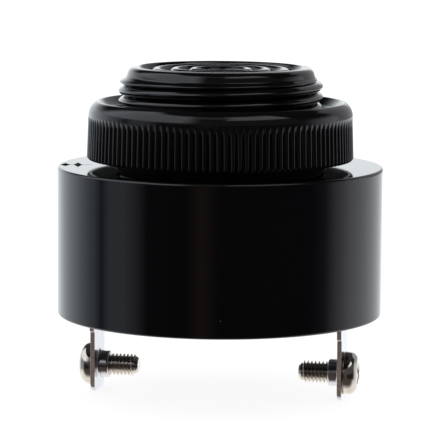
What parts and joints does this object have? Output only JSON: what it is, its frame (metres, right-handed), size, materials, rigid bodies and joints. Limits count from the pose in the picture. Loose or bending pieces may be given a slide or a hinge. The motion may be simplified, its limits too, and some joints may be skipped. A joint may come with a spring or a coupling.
{
  "type": "panel mount buzzer",
  "caption": "Round black panel mount sounder with a threaded nose, ringed grille, knurled ring nut and screw terminals on flat blades.",
  "frame": {"origin": "on the axis, in the plane of the shoulder that seats on the panel", "axes": "+Z out of the nose along the axis, +X towards the positive terminal"},
  "size_m": [0.043, 0.043, 0.0438],
  "materials": {
    "housing": "glossy black moulding",
    "ring_nut": "black moulding, slightly satin ribs",
    "rear_cover": "black moulding",
    "terminal_positive": "bright plated sheet with bare sheared edges",
    "terminal_negative": "bright plated sheet with bare sheared edges",
    "terminal_screws": "bright nickel plated steel",
    "diaphragm_plate": "rolled brass",
    "piezo_ceramic": "silvered ceramic",
    "diaphragm_bead": "cured elastic bead",
    "clamp_ring": "dark grey moulding",
    "circuit_board": "green solder resist",
    "drive_transistor": "black moulded case",
    "choke_core": "dark ferrite",
    "choke_winding": "enamelled copper wire",
    "smoothing_capacitor": "sleeved can",
    "polarity_diode": "black case with tinned wires",
    "base_resistor": "lacquered body with tinned wires",
    "collector_resistor": "lacquered body with tinned wires",
    "feedback_resistor": "lacquered body with tinned wires",
    "drive_lead": "red insulated wire",
    "feedback_lead": "blue insulated wire",
    "ground_lead": "black insulated wire",
    "solder_joints": "solder"
  },
  "bodies": {
    "buzzer": {"housing": "housing", "rear_cover": "rear_cover", "terminal_positive": "terminal_positive", "terminal_negative": "terminal_negative", "terminal_screws": "terminal_screws", "diaphragm_plate": "diaphragm_plate", "piezo_ceramic": "piezo_ceramic", "diaphragm_bead": "diaphragm_bead", "clamp_ring": "clamp_ring", "circuit_board": "circuit_board", "drive_transistor": "drive_transistor", "choke_core": "choke_core", "choke_winding": "choke_winding", "smoothing_capacitor": "smoothing_capacitor", "polarity_diode": "polarity_diode", "base_resistor": "base_resistor", "collector_resistor": "collector_resistor", "feedback_resistor": "feedback_resistor", "drive_lead": "drive_lead", "feedback_lead": "feedback_lead", "ground_lead": "ground_lead", "solder_joints": "solder_joints"},
    "nut": {"ring_nut": "ring_nut"}
  },
  "joints": [
    {"name": "ring_nut_travel", "type": "slide", "parent": "buzzer", "child": "nut", "axis": [0, 0, 1], "range_m": [-0.0009, 0.0125]}
  ]
}
